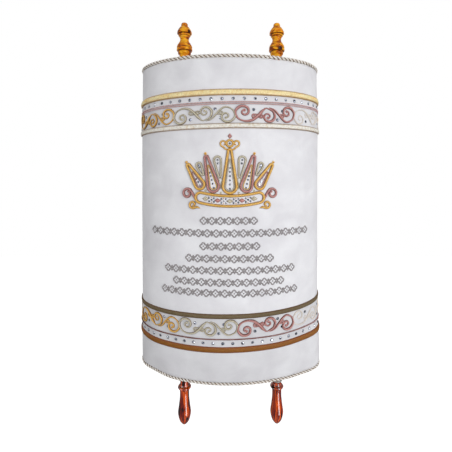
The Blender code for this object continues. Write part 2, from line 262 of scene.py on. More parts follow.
def thread_look(name, dark, light, roughness, metallic, pitch, slant, edge=0.0, crumple=0.0):
    """Metallic or silk thread laid side by side, seen in the piece's own run and width. The run is in
    metres and the width goes from -1 to 1; edge says how much shade is painted on the sides of the cord,
    leaving its middle lit, and crumple how deep its dents are, with shade painted in their hollows."""
    look = Look(name, roughness=roughness, metallic=metallic, Specular_IOR_Level=1.0 if crumple else 0.5)
    run = look.coordinates("UV", (1000, 2, 1), slant)
    threads = look.wave(run, 0.314 / pitch, 1.0, 2.0)
    place = look.coordinates()
    fleck = look.noise(place, 420.0, 2.0)
    tone = look.ramp(threads, ((0.10, srgb(*dark)), (0.62, srgb(*light))))
    shade = look.ramp(fleck, ((0.30, (0.80, 0.78, 0.75, 1)), (0.66, (1.0, 1.0, 1.0, 1))))
    tone = look.mix(0.8, tone, shade, "MULTIPLY")
    # Painted shade: the cord's sides are darkened and browned, leaving a lit middle
    if edge:
        aside = look.node("ShaderNodeMath", operation="ABSOLUTE")
        look.link(look.split(look.coordinates("UV"))["Y"], aside.inputs[0])
        rest = 1.0 - edge
        sides = look.ramp(aside.outputs[0], ((0.42, (1.0, 1.0, 1.0, 1)),
                                             (0.88, (rest, rest * 0.68, rest * 0.48, 1))))
        tone = look.mix(1.0, tone, sides, "MULTIPLY")
    if crumple:
        dents = look.noise(place, 190.0, 2.0, 0.6)
        # Painted shade in the dents: the braid is darkened where their bump is lowest
        painted_dent_shade = look.ramp(dents, ((0.34, (0.88, 0.80, 0.68, 1)), (0.48, (1.0, 1.0, 1.0, 1))))
        tone = look.mix(1.0, tone, painted_dent_shade, "MULTIPLY")
        look.bump(dents, crumple, 1.0)
    look.colour(tone)
    look.bump(threads, 0.00025, 0.8)
    look.bump(fleck, 0.0002, 0.3)
    return look.material


def wood_look(name, dark, middle, light, stretch, grain_scale, streaks, knots=(), **sockets):
    """Varnished turned wood. Stretch draws its grain out along the roller or round it, and knots are
    dark spots with a place and a radius."""
    look = Look(name, **sockets)
    along = look.coordinates("Object", stretch)
    grain = look.noise(along, grain_scale, 3.0, 0.8)
    fine = look.noise(along, grain_scale * 4, 2.0)
    tone = look.ramp(grain, ((0.38, srgb(*dark)), (0.47, srgb(*middle)), (0.60, srgb(*light))))
    streak = look.ramp(fine, ((0.35, (streaks, streaks * 0.9, streaks * 0.8, 1)), (0.62, (1, 1, 1, 1))))
    tone = look.mix(1.0, tone, streak, "MULTIPLY")
    for place, radius in knots:
        apart = look.node("ShaderNodeVectorMath", operation="DISTANCE")
        look.link(look.coordinates(), apart.inputs[0])
        apart.inputs[1].default_value = place
        share = look.node("ShaderNodeMath", operation="DIVIDE")
        look.link(apart.outputs["Value"], share.inputs[0])
        share.inputs[1].default_value = radius
        spot = look.ramp(share.outputs[0], ((0.45, (0.05, 0.035, 0.05, 1)), (0.75, (0.16, 0.08, 0.06, 1)),
                                            (1.0, (1, 1, 1, 1))))
        tone = look.mix(1.0, tone, spot, "MULTIPLY")
    look.colour(tone)
    look.bump(fine, 0.0002, 0.12)
    return look.material


def cloudy_look(name, scale, detail, stops, bump=0.0, **shader):
    """A look whose colour comes from one noise, with its stops as shares and 0 to 255 colours."""
    look = Look(name, **shader)
    cloud = look.noise(look.coordinates(), scale, detail)
    look.colour(look.ramp(cloud, [(share, srgb(*colour)) for share, colour in stops]))
    if bump:
        look.bump(cloud, bump, 0.3)
    return look


def floor_look():
    """Pale floor that is white where the camera sees it."""
    look = cloudy_look("floor", 1.5, 1.0, ((0.3, (128, 128, 128)), (0.7, (136, 136, 136))), roughness=0.9,
                       Emission_Color=(1.0, 1.0, 1.0, 1.0))
    seen = look.node("ShaderNodeLightPath")
    look.link(seen.outputs["Is Camera Ray"], look.shader.inputs["Emission Strength"])
    return look.material


# Threads and braids: dark and light tone, roughness, metallic, pitch, slant, then painted side shade and
# crumple
THREADS = {
    "rope_cream": ((226, 218, 208), (255, 252, 247), 0.6, 0.0, 0.9, 0.9),
    "rope_taupe": ((96, 74, 56), (150, 122, 98), 0.6, 0.0, 0.9, 0.9),
    "gold_braid": ((250, 200, 106), (255, 250, 200), 0.30, 0.0, 2.2, 0.3, 0.56, 0.0016),
    "champagne_braid": ((226, 218, 198), (255, 255, 252), 0.30, 0.0, 1.8, 0.3, 0.60, 0.0014),
    # Painted shade: the olive and bronze braids' dark tones stand for the lower band's braids in less light
    "olive_braid": ((84, 70, 46), (130, 113, 80), 0.55, 0.1, 1.0, 0.3, 0.25),
    "bronze_braid": ((104, 60, 16), (174, 112, 36), 0.45, 0.15, 1.2, 0.3, 0.2),
    "rose_cord": ((204, 156, 158), (250, 218, 216), 0.6, 0.0, 1.1, 0.8),
    "rose_thread": ((140, 84, 86), (218, 160, 154), 0.40, 0.0, 1.9, 0.8, 0.70),
    "gold_thread": ((188, 116, 30), (255, 214, 116), 0.36, 0.1, 1.7, 0.8, 0.66),
    "champagne_thread": ((136, 126, 98), (234, 228, 206), 0.38, 0.0, 1.7, 0.8, 0.68),
    "cream_thread": ((206, 194, 184), (244, 238, 232), 0.5, 0.0, 1.3, 0.8),
    "grey_thread": ((122, 117, 119), (178, 173, 175), 0.42, 0.0, 0.9, 0.8),
}
# Knots in the finials: place and radius
HONEY_KNOTS = (((-0.0855, -0.0104, TOP_Z + 0.0828), 0.0052), ((0.1058, -0.0155, TOP_Z + 0.0444), 0.0060))
LOOKS = {"velvet": velvet_look()}
for thread, values in THREADS.items():
    LOOKS[thread] = thread_look(thread, *values)
LOOKS.update({
    # Painted reflection on the stones: dark grey for dark surroundings, with near-white painted glints in
    # random patches
    "stones": cloudy_look("stones", 240.0, 1.0, ((0.36, (66, 70, 84)), (0.52, (150, 156, 172)),
                                                 (0.66, (240, 244, 252))),
                          roughness=0.06, metallic=0.85, Coat_Weight=0.8).material,
    "settings": cloudy_look("settings", 300.0, 1.0, ((0.3, (74, 74, 80)), (0.7, (120, 120, 128))),
                            roughness=0.35, metallic=0.6).material,
    "honey_wood": wood_look("honey_wood", (146, 66, 0), (230, 132, 6), (255, 184, 34), (0.5, 0.5, 1.0), 120.0,
                            0.72, HONEY_KNOTS, roughness=0.4, Specular_IOR_Level=0.1, Coat_Weight=0.2,
                            Coat_Roughness=0.12),
    # Dark brown colour laid in the turned grooves
    "dark_groove_line": cloudy_look("dark_groove_line", 260.0, 1.0, ((0.3, (84, 36, 4)), (0.7, (150, 84, 16))),
                              roughness=0.5, Specular_IOR_Level=0.3).material,
    "red_wood": wood_look("red_wood", (20, 0, 0), (150, 24, 0), (250, 100, 12), (1.0, 1.0, 0.10), 190.0, 0.55,
                          roughness=0.45, Specular_IOR_Level=0.0, Coat_Weight=1.0, Coat_Roughness=0.05,
                          Coat_IOR=2.0),
    "plain_wood": wood_look("plain_wood", (146, 110, 70), (186, 148, 102), (212, 178, 132), (1.0, 1.0, 0.1),
                            80.0, 0.86, roughness=0.5, Specular_IOR_Level=0.4),
    "grey_hub": cloudy_look("grey_hub", 170.0, 2.0, ((0.38, (92, 100, 96)), (0.60, (206, 212, 208))), 0.0005,
                            roughness=0.3, Specular_IOR_Level=0.5).material,
    "floor": floor_look(),
})


# The wall's shape

def half_depth(below):
    """Half the oval's size from front to back at a height."""
    up = 1.0 - np.asarray(below) / MANTLE_HEIGHT
    straight = HALF_DEPTH_HEM + (HALF_DEPTH_TOP - HALF_DEPTH_HEM) * up
    swell = HALF_DEPTH_MID - (HALF_DEPTH_TOP + HALF_DEPTH_HEM) / 2
    return straight + swell * (1.0 - np.abs(2.0 * up - 1.0) ** 4)


def pressed_in(angle, below):
    """How far dents and ripples move the velvet in at a place."""
    depth = np.zeros(np.broadcast(angle, below).shape)
    for around, height, reach_round, reach, dent in DENTS:
        turn = (np.degrees(angle) - around + 180) % 360 - 180
        away = np.hypot(turn / reach_round, (below - height) / reach)
        depth += np.where(away < 1.0, dent * np.cos(np.minimum(away, 1.0) * np.pi / 2) ** 2, 0.0)
    for waves_round, waves_tall, phase, ripple in RIPPLES:
        swing = waves_round * angle + waves_tall * math.tau * below + phase
        depth += ripple * (1 + np.sin(swing))
    return depth


def surface(angle, below, out=0.0):
    """Points on the wall's outer face, moved out; angle is in radians round from the front."""
    angle, below, out = np.broadcast_arrays(angle, below, out)
    depth = half_depth(below)
    away = np.stack((depth * np.sin(angle), -HALF_WIDTH * np.cos(angle), np.zeros(angle.shape)), axis=-1)
    away /= np.linalg.norm(away, axis=-1, keepdims=True)
    base = np.stack((HALF_WIDTH * np.sin(angle), -depth * np.cos(angle), TOP_Z - below), axis=-1)
    return base + away * (out - pressed_in(angle, below))[..., None]


def band_place(angle, below):
    """The height on the wall of a place in the bands, which sit slightly askew."""
    heights, slopes = zip(*BAND_SLOPE)
    return below - np.interp(below, heights, slopes) * np.sin(angle)


def on_band(angle, below, out):
    angle, below = np.broadcast_arrays(angle, below)
    return surface(angle, band_place(angle, below), out)


@functools.lru_cache(maxsize=None)
def arc_table(below):
    """Angles round the oval at one height, and the length of wall up to each, 0 at the front."""
    fine = np.linspace(-math.pi, math.pi, 2881)
    speed = np.hypot(HALF_WIDTH * np.cos(fine), float(half_depth(below)) * np.sin(fine))
    length = np.concatenate(([0.0], np.cumsum((speed[1:] + speed[:-1]) / 2 * (fine[1] - fine[0]))))
    return fine, length - length[len(fine) // 2]


def perimeter(below):
    return 2 * arc_table(float(below))[1][-1]


def angles_along(u, below):
    """Angles that lie distances u round the wall from the front, on the oval at one height."""
    fine, length = arc_table(float(below))
    rounds = np.floor(np.asarray(u) / (2 * length[-1]) + 0.5)
    return np.interp(u - rounds * 2 * length[-1], length, fine) + math.tau * rounds


# Mesh building

def add_piece(name, points, faces, uvs, look, smooth=True):
    """A mesh object from points, faces and one (u, v) pair for each face corner."""
    mesh = bpy.data.meshes.new(name)
    mesh.from_pydata(np.asarray(points).reshape(-1, 3).tolist(), [], faces)
    if uvs is not None:
        layer = mesh.uv_layers.new(name="run")
        layer.data.foreach_set("uv", np.asarray(uvs, dtype=np.float32).ravel())
    if smooth:
        mesh.shade_smooth()
    mesh.materials.append(LOOKS[look])
    return placed(name, mesh)


class Batch:
    """Collects many small grids and domes, and makes one mesh of them."""

    def __init__(self):
        self.points = []
        self.faces = []
        self.uvs = []
        self.count = 0

    def grid(self, points, uv, wrap_rows=False, wrap_columns=False):
        """Adds quads over rows and columns of points; uv has one more row or column where it wraps."""
        rows, columns = points.shape[:2]
        row = np.arange(rows if wrap_rows else rows - 1)[:, None]
        column = np.arange(columns if wrap_columns else columns - 1)[None, :]
        next_row = (row + 1) % rows
        next_column = (column + 1) % columns
        corners = [row * columns + column, row * columns + next_column,
                   next_row * columns + next_column, next_row * columns + column]
        quads = np.stack([corner + self.count for corner in np.broadcast_arrays(*corners)], axis=-1)
        uv_corners = [uv[row, column], uv[row, column + 1], uv[row + 1, column + 1], uv[row + 1, column]]
        self.points.append(points.reshape(-1, 3))
        self.faces += quads.reshape(-1, 4).tolist()
        self.uvs.append(np.stack(uv_corners, axis=2).reshape(-1, 2))
        self.count += rows * columns

    def cap(self, ring, backwards=False):
        """Closes a ring of points that was just added, given by their numbers."""
        ring = list(ring)
        self.faces.append(ring[::-1] if backwards else ring)
        self.uvs.append(np.zeros((len(ring), 2)))

    def mesh(self, points, faces):
        """Adds a small ready mesh."""
        self.points.append(points)
        for face in faces:
            self.faces.append([corner + self.count for corner in face])
            self.uvs.append(np.zeros((len(face), 2)))
        self.count += len(points)

    def piece(self, name, look, smooth=True):
        points, uvs = np.concatenate(self.points), np.concatenate(self.uvs)
        return add_piece(name, points, self.faces, uvs, look, smooth)


def ring_uv(along, across):
    """Run and width values for a grid, in metres."""
    return np.stack(np.meshgrid(along, across, indexing="ij"), axis=-1)


def finish_piece(piece, nodes=()):
    """Every piece rides on the one body and hides the nodes it stands for."""
    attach(piece, "root")
    if nodes:
        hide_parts(*nodes)
    return piece


# Velvet wall and top panel

WALL_COLUMNS = 360
OUTER_ROWS = 130
INNER_ROWS = 24
EDGE_ROUND = 0.0006


def make_wall():
    """The hanging velvet tube, one closed sheet with softly rounded edges."""
    angle = np.linspace(0, math.tau, WALL_COLUMNS, endpoint=False)[:, None]
    outer = np.linspace(WALL_TOP + EDGE_ROUND, WALL_FOOT - EDGE_ROUND, OUTER_ROWS)
    inner = np.linspace(WALL_FOOT - EDGE_ROUND, WALL_TOP + EDGE_ROUND, INNER_ROWS)
    below = np.concatenate((outer, [WALL_FOOT, WALL_FOOT], inner, [WALL_TOP, WALL_TOP]))
    out = np.concatenate((np.zeros(OUTER_ROWS), [-EDGE_ROUND, EDGE_ROUND - CLOTH],
                          np.full(INNER_ROWS, -CLOTH), [EDGE_ROUND - CLOTH, -EDGE_ROUND]))
    points = surface(angle, below[None, :], out[None, :])
    batch = Batch()
    uv = ring_uv(np.linspace(0, perimeter(MIDDLE_BELOW), WALL_COLUMNS + 1),
                 np.linspace(0, 2 * MANTLE_HEIGHT, len(below) + 1))
    batch.grid(points, uv, wrap_rows=True, wrap_columns=True)
    return finish_piece(batch.piece("velvet_wall", "velvet"), ["mantle_wall"])


PANEL_COLUMNS = 240
HOLE_SIDES = 64
HOLE_RADIUS = 0.0131
HOLE_CUT = 0.05
PANEL_GAP = 0.0006
PANEL_SOFT_EDGE = 0.0012
PANEL_SHARP_DEG = 50


def roller_centre(label):
    low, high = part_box(f"pole_{label}")
    return (low[0] + high[0]) / 2


def make_top_panel():
    """The velvet-covered oval board with a round hole for each roller."""
    low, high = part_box("top_panel")
    angle = np.linspace(0, math.tau, PANEL_COLUMNS, endpoint=False)
    edge = surface(angle, WALL_TOP, -CLOTH - PANEL_GAP)
    body = bmesh.new()
    rings = [[body.verts.new((x, y, z)) for x, y in edge[:, :2]] for z in (low[2], high[2])]
    for ring in rings:
        body.faces.new(ring)
    for column in range(PANEL_COLUMNS):
        beside = (column + 1) % PANEL_COLUMNS
        body.faces.new((rings[0][column], rings[0][beside], rings[1][beside], rings[1][column]))
    bmesh.ops.recalc_face_normals(body, faces=body.faces)
    mesh = bpy.data.meshes.new("velvet_top")
    body.to_mesh(mesh)
    body.free()
    panel = placed("velvet_top", mesh)
    cutters = []
    for label in ("left", "right"):
        bpy.ops.mesh.primitive_cylinder_add(vertices=HOLE_SIDES, radius=HOLE_RADIUS, depth=HOLE_CUT,
                                            location=(roller_centre(label), 0, (low[2] + high[2]) / 2))
        cutters.append(bpy.context.object)
        cut = panel.modifiers.new("hole", "BOOLEAN")
        cut.object = cutters[-1]
    soft = panel.modifiers.new("soft_edge", "BEVEL")
    soft.width = PANEL_SOFT_EDGE
    soft.segments = 3
    soft.limit_method = "ANGLE"
    graph = bpy.context.evaluated_depsgraph_get()
    panel.data = bpy.data.meshes.new_from_object(panel.evaluated_get(graph))
    panel.modifiers.clear()
    for cutter in cutters:
        bpy.data.objects.remove(cutter, do_unlink=True)
    panel.data.shade_smooth()
    panel.data.set_sharp_from_angle(angle=math.radians(PANEL_SHARP_DEG))
    panel.data.materials.clear()
    panel.data.materials.append(LOOKS["velvet"])
    return finish_piece(panel, ["top_panel"])


# Ropes and cords

# How far out a direction is measured, and how a strand's width is spread for its thread
OUT_STEP = 0.01
STRAND_SPREAD = 500


def twisted_strand(batch, centres, away, turns, phase, offset, radius, sides):
    """Adds one strand of a twisted rope that runs round a closed line."""
    count = len(centres)
    swing = phase - math.tau * turns * np.arange(count) / count
    up = np.array((0.0, 0.0, 1.0))
    radial = away * np.cos(swing)[:, None] + up * np.sin(swing)[:, None]
    middle = centres + radial * offset
    run = np.roll(middle, -1, axis=0) - np.roll(middle, 1, axis=0)
    run /= np.linalg.norm(run, axis=1, keepdims=True)
    side = np.cross(run, radial)
    theta = np.linspace(0, math.tau, sides, endpoint=False)
    points = (middle[:, None, :] + radius * (np.cos(theta)[None, :, None] * radial[:, None, :]
                                             + np.sin(theta)[None, :, None] * side[:, None, :]))
    length = np.linalg.norm(np.roll(middle, -1, axis=0) - middle, axis=1).sum()
    uv = ring_uv(np.linspace(0, length, count + 1),
                 np.linspace(0, STRAND_SPREAD * math.tau * radius, sides + 1))
    batch.grid(points, uv, wrap_rows=True, wrap_columns=True)


def line_round(place, below, out, count):
    """Evenly spaced points and outward directions of a line round the wall, where place puts them on it."""
    u = np.linspace(-0.5, 0.5, count, endpoint=False) * perimeter(below)
    angle = angles_along(u, below)
    centres = place(angle, below, out)
    return centres, (place(angle, below, out + OUT_STEP) - centres) / OUT_STEP


# A rope is two thick pale strands with a thinner dark one in each groove: offset and radius as shares
ROPE_STRANDS = (("rope_cream", 0, 0.46, 0.54, 9), ("rope_cream", math.pi, 0.46, 0.54, 9),
                ("rope_taupe", math.pi / 2, 0.54, 0.29, 6), ("rope_taupe", math.pi * 1.5, 0.54, 0.29, 6))


def make_rope(name, radius, lay, edge_below, z):
    """A twisted rope along an edge of the wall, one piece for each colour of strand."""
    turn_length, steps = lay
    turns = round(perimeter(edge_below) / turn_length)
    centres, away = line_round(surface, edge_below, -CLOTH / 2, turns * steps)
    centres[:, 2] = z
    batches = {"rope_cream": Batch(), "rope_taupe": Batch()}
    for look, phase, offset, share, sides in ROPE_STRANDS:
        twisted_strand(batches[look], centres, away, turns, phase, radius * offset, radius * share, sides)
    for look, batch in batches.items():
        nodes = [name] if look == "rope_cream" else ()
        finish_piece(batch.piece(f"{name}_{look.removeprefix('rope_')}_strand", look), nodes)


ROSE_CORD_RADIUS = 0.0012
ROSE_LAY = 0.0050
ROSE_STEPS = 7
# Each strand's distance from the cord's middle and its radius, and how far out the cord lies, as shares
ROSE_OFFSET = 0.44
ROSE_SHARE = 0.56
ROSE_OUT = 0.9


def make_rose_cord(name, node, middles, look):
    """Thin two-strand cords that lie side by side on the wall."""
    batch = Batch()
    for below in middles:
        turns = round(perimeter(below) / ROSE_LAY)
        centres, away = line_round(on_band, below, ROSE_CORD_RADIUS * ROSE_OUT, turns * ROSE_STEPS)
        for phase in (0.0, math.pi):
            twisted_strand(batch, centres, away, turns, phase, ROSE_CORD_RADIUS * ROSE_OFFSET,
                           ROSE_CORD_RADIUS * ROSE_SHARE, 5)
    finish_piece(batch.piece(name, look), [node])


def make_braid(node, below, width, thick):
    """A domed braid with slanting ridges that meet along its middle."""
    u = np.linspace(0, perimeter(below), BRAID_STEPS, endpoint=False)
    angle = angles_along(u, below)[:, None]
    across = np.linspace(-1, 1, BRAID_ROWS)
    ridges = np.sin(math.tau * (u[:, None] / BRAID_RIDGE + np.abs(across) * BRAID_SLANT))
    rounded = np.sqrt(np.clip(1 - across ** 2, 0, 1))
    domed = thick * (BRAID_EDGE + (1 - BRAID_EDGE) * rounded)[None, :]
    out = domed + BRAID_RIDGE_DEPTH * ridges * (BRAID_RIDGE_EDGE + (1 - BRAID_RIDGE_EDGE) * rounded)
    top = on_band(angle, below + across[None, :] * width / 2, out)
    foot = on_band(angle, below + np.array((1.0, -1.0))[None, :] * width / 2, 0.0)
    points = np.concatenate((top, foot), axis=1)
    batch = Batch()
    uv = ring_uv(np.linspace(0, perimeter(below), BRAID_STEPS + 1), np.append(across, (1, -1, -1)))
    batch.grid(points, uv, wrap_rows=True, wrap_columns=True)
    slot = node.split("_", 1)[1]
    finish_piece(batch.piece(node + "_woven", slot), [node])


# Couched cords and satin stitch on the wall

CORD_SINK = 0.0002


def lengths_along(path):
    """Length of the path up to each of its points."""
    return np.concatenate(([0.0], np.cumsum(np.linalg.norm(np.diff(path, axis=0), axis=1))))


def smooth_path(points, step, closed=False):
    """A Catmull-Rom curve through control points, sampled about every step."""
    points = np.asarray(points, dtype=float)
    count = len(points)
    result = []
    for number in range(count if closed else count - 1):
        if closed:
            p0, p1, p2, p3 = (points[(number + shift) % count] for shift in (-1, 0, 1, 2))
        else:
            p1, p2 = points[number], points[number + 1]
            p0 = points[number - 1] if number else 2 * p1 - p2
            p3 = points[number + 2] if number + 2 < count else 2 * p2 - p1
        pieces = max(2, math.ceil(np.linalg.norm(p2 - p1) / step))
        t = np.arange(pieces)[:, None] / pieces
        result.append(0.5 * (2 * p1 + (p2 - p0) * t + (2 * p0 - 5 * p1 + 4 * p2 - p3) * t ** 2
                             + (3 * p1 - p0 - 3 * p2 + p3) * t ** 3))
    if not closed:
        result.append(points[-1:])
    return np.concatenate(result)


SECTION_STEPS = 7


def lay_cord(batch, path, widths, heights, section_below, closed=False):
    """Adds a raised cord along a path of (u, below) points on the wall."""
    following = np.roll(path, -1, axis=0)
    previous = np.roll(path, 1, axis=0)
    if not closed:
        following[-1] = path[-1]
        previous[0] = path[0]
    run = following - previous
    run /= np.maximum(np.linalg.norm(run, axis=1, keepdims=True), 1e-9)
    across = np.stack((-run[:, 1], run[:, 0]), axis=1)
    theta = np.linspace(0, math.pi, SECTION_STEPS)
    shift = np.outer(widths / 2, np.cos(theta))
    out = np.outer(heights, np.sin(theta)) - CORD_SINK
    place = path[:, None, :] + across[:, None, :] * shift[..., None]
    points = on_band(angles_along(place[..., 0], section_below), place[..., 1], out)
    length = lengths_along(path)
    if closed:
        length = np.append(length, length[-1] + np.linalg.norm(path[0] - path[-1]))
    start = batch.count
    uv = ring_uv(length, np.append(np.cos(theta), 1))
    batch.grid(points, uv, wrap_rows=closed, wrap_columns=True)
    if not closed:
        batch.cap(range(start, start + SECTION_STEPS), True)
        last = start + (len(path) - 1) * SECTION_STEPS
        batch.cap(range(last, last + SECTION_STEPS))


def dome(batch, u, below, section_below, radius, height, sides=12, rings=4):
    """Adds a small round knot or bead on the wall."""
    theta = np.linspace(0, math.tau, sides, endpoint=False)
    rise = np.linspace(0, math.pi / 2, rings, endpoint=False)
    reach = radius * np.cos(rise)[:, None]
    angle = angles_along(u + reach * np.cos(theta)[None, :], section_below)
    out = np.broadcast_to((height * np.sin(rise) - CORD_SINK / 2)[:, None], (rings, sides))
    points = on_band(angle, below + reach * np.sin(theta)[None, :], out)
    start = batch.count
    uv = ring_uv(np.linspace(0, radius, rings), np.linspace(0, 0.5, sides + 1))
    batch.grid(points, uv, wrap_columns=True)
    peak = batch.count
    batch.points.append(on_band(angles_along(np.array([u]), section_below), np.array([below]), height))
    batch.count += 1
    last = start + (rings - 1) * sides
    for side in range(sides):
        batch.faces.append([last + side, last + (side + 1) % sides, peak])
        batch.uvs.append(np.zeros((3, 2)))
    batch.cap(range(start, start + sides), True)


def volute(centre, start, turn, radii):
    """Control points of a spiral, one radius for each quarter turn, with one more between each two."""
    radii = np.asarray(radii)
    fine = np.interp(np.arange(0, len(radii) - 0.75, 0.5), np.arange(len(radii)), np.log(radii))
    angle = np.radians(start) + turn * math.pi / 4 * np.arange(len(fine))
    radius = np.exp(fine)
    return [(centre[0] + r * math.cos(a), centre[1] + r * math.sin(a)) for r, a in zip(radius, angle)]


# One group of scrollwork: s runs along the band, t up from its middle. Each stroke starts with tail points
# and winds into a volute: its middle, the angle where it starts, which way it turns, its radii. Then come
# the stroke's widths at shares of its length, and the radius of the knot at its end.
GROUP_LENGTH = 0.1084
END_VOLUTE = (0.0168, 0.0152, 0.0098, 0.0072, 0.0055, 0.0042, 0.0026)
MIDDLE_VOLUTE = (0.0145, 0.0125, 0.0088, 0.0066, 0.0049, 0.0036, 0.0023)
CURL_WIDTHS = ((0.0, 0.0012), (0.4, 0.0022), (1.0, 0.0018))
STROKES = (
    (((0.0545, 0.0118), (0.0470, 0.0060), (0.0385, -0.0035), (0.0285, -0.0112)),
     (0.0155, 0.0040), 270, -1, END_VOLUTE,
     ((0.0, 0.0008), (0.10, 0.0040), (0.26, 0.0034), (0.42, 0.0020), (0.62, 0.0036), (0.85, 0.0028),
      (1.0, 0.0022)), 0.0019),
    (((0.0495, 0.0108),), (0.0565, -0.0045), 90, -1, MIDDLE_VOLUTE,
     ((0.0, 0.0008), (0.15, 0.0024), (0.40, 0.0036), (0.70, 0.0026), (1.0, 0.0020)), 0.0018),
    (((0.0590, 0.0120), (0.0680, 0.0084), (0.0765, -0.0005), (0.0835, -0.0083)),
     (GROUP_LENGTH - 0.0155, 0.0040), 270, 1, END_VOLUTE,
     ((0.0, 0.0008), (0.12, 0.0026), (0.30, 0.0026), (0.42, 0.0020), (0.62, 0.0034), (0.85, 0.0028),
      (1.0, 0.0022)), 0.0019),
    (((0.0400, -0.0012), (0.0352, -0.0006)), (0.0318, -0.0040), 80, 1, (0.0034, 0.0032, 0.0026, 0.0016),
     CURL_WIDTHS, 0.0015),
    (((0.0375, -0.0052), (0.0420, -0.0062)), (0.0446, -0.0036), 262, 1, (0.0032, 0.0030, 0.0024, 0.0015),
     CURL_WIDTHS, 0.0015),
    (((0.0765, -0.0006), (0.0808, 0.0002)), (0.0838, -0.0030), 100, -1, (0.0032, 0.0030, 0.0024, 0.0015),
     CURL_WIDTHS, 0.0014),
)
GROUP_STONES = ((0.0312, 0.0078), (0.0835, 0.0068), (0.0745, -0.0098))
STROKE_STEP = 0.0011
STROKE_HEIGHT = 0.70
KNOT_HEIGHT = 0.9

# Scroll bands: height of the middle, where the group in the middle starts, how much wider the groups at
# the front are, and whether the one in the middle stands upright
SCROLL_BANDS = (
    {"below": 0.1135, "start": 0.009, "stretch": 0.008, "upright": 0},
    {"below": 0.4923, "start": 0.014, "stretch": 0.0, "upright": 1},
)
GROUP_COUNT = 9
# How thick each colour's cords are, and the colour of each group from the one in the middle to the right and
# on round
CORD_WEIGHTS = {"rose_thread": 1.50, "cream_thread": 0.95, "gold_thread": 1.35, "champagne_thread": 1.25}
GROUP_COLOURS = ("rose_thread", "cream_thread", "gold_thread", "champagne_thread", "gold_thread",
                 "rose_thread", "cream_thread", "gold_thread", "champagne_thread")


def lay_group(batch, stones, band, number, weight):
    """Adds one group of scrolls, every second one upside down."""
    below = band["below"]
    length = perimeter(below) / GROUP_COUNT
    flip = 1 if number % 2 == band["upright"] else -1

    def place(points):
        u = band["start"] + (number + np.array([point[0] for point in points]) / GROUP_LENGTH) * length
        u = u + band["stretch"] * np.sin(math.tau * u / perimeter(below))
        return np.stack((u, below - flip * np.array([point[1] for point in points])), axis=1)

    for tail, centre, start, turn, radii, shares, knot in STROKES:
        path = smooth_path(place([*tail, *volute(centre, start, turn, radii)]), STROKE_STEP)
        keys, values = zip(*shares)
        widths = np.interp(np.linspace(0, 1, len(path)), keys, values) * weight
        lay_cord(batch, path, widths, widths * STROKE_HEIGHT, below)
        dome(batch, *path[-1], below, knot * weight, knot * weight * KNOT_HEIGHT)
    for u, height in place(GROUP_STONES):
        stones.append((u, height, below))


# Set stones

STONE_FACETS = 8
STONE_TABLE = 0.50
STONE_RISE = 0.62
STONE_SINK = 0.0002
SETTING_REACH = 1.18


def stone_template():
    """A round faceted stone of radius 1 with its table towards +Z, and the cup that holds it."""
    n = STONE_FACETS
    step = math.tau / n

    def ring(radius, height, turn=0.0):
        return [(radius * math.cos(step * (k + turn)), radius * math.sin(step * (k + turn)), height)
                for k in range(n)]

    points = np.array(ring(0.94, -0.05) + ring(1.0, 0.20) + ring(0.80, 0.44, 0.5)
                      + ring(STONE_TABLE, STONE_RISE))
    faces = [tuple(reversed(range(n))), tuple(range(3 * n, 4 * n))]
    for k in range(n):
        k1 = (k + 1) % n
        faces += [(k, k1, n + k1, n + k), (n + k, n + k1, 2 * n + k),
                  (n + k1, 2 * n + k1, 2 * n + k), (2 * n + k, 2 * n + k1, 3 * n + k1),
                  (2 * n + k, 3 * n + k1, 3 * n + k)]
    cup = np.array(ring(SETTING_REACH, 0.0) + ring(SETTING_REACH * 0.93, 0.22) + ring(0.90, 0.20)
                   + ring(0.88, 0.0))
    cup_faces = [(a * n + k, a * n + (k + 1) % n, (a + 1) % 4 * n + (k + 1) % n, (a + 1) % 4 * n + k)
                 for a in range(4) for k in range(n)]
    return points, faces, cup, cup_faces


def make_stones(name, stones, radius):
    """All stones of one size as one piece and their cups as another, each stone turned its own way."""
    template, faces, cup, cup_faces = stone_template()
    gems, cups = Batch(), Batch()
    for number, (u, below, section) in enumerate(stones):
        angle = angles_along(np.array((u, u + 0.001, u)), section)
        base, beside, above = on_band(angle, np.array((below, below, below - 0.001)), 0.0)
        right = (beside - base) / np.linalg.norm(beside - base)
        away = np.cross(right, (above - base) / np.linalg.norm(above - base))
        away /= np.linalg.norm(away)
        up = np.cross(away, right)
        turn = number * 0.7
        size = radius * (1 + 0.05 * math.sin(number * 2.3))
        for batch, shape, shape_faces in ((gems, template, faces), (cups, cup, cup_faces)):
            x = shape[:, 0] * math.cos(turn) - shape[:, 1] * math.sin(turn)
            y = shape[:, 0] * math.sin(turn) + shape[:, 1] * math.cos(turn)
            points = base + size * (x[:, None] * right + y[:, None] * up + shape[:, 2:3] * away)
            batch.mesh(points - away * STONE_SINK, shape_faces)
    finish_piece(gems.piece(name, "stones", smooth=False))
    finish_piece(cups.piece(name + "_settings", "settings", smooth=False))


# Crown on the front: v runs up from its foot

CROWN_FOOT_BELOW = 0.280
GOLD_CORD = 0.0042
ROSE_CORD = 0.0040
CHAMPAGNE_CORD = 0.0032
BAND_HALF_LENGTH = 0.052
BAND_HALF_HEIGHT = 0.009
BAND_MIDDLE_V = 0.013
BAND_BEND_RADIUS = 0.230
CROWN_STEP = 0.0014
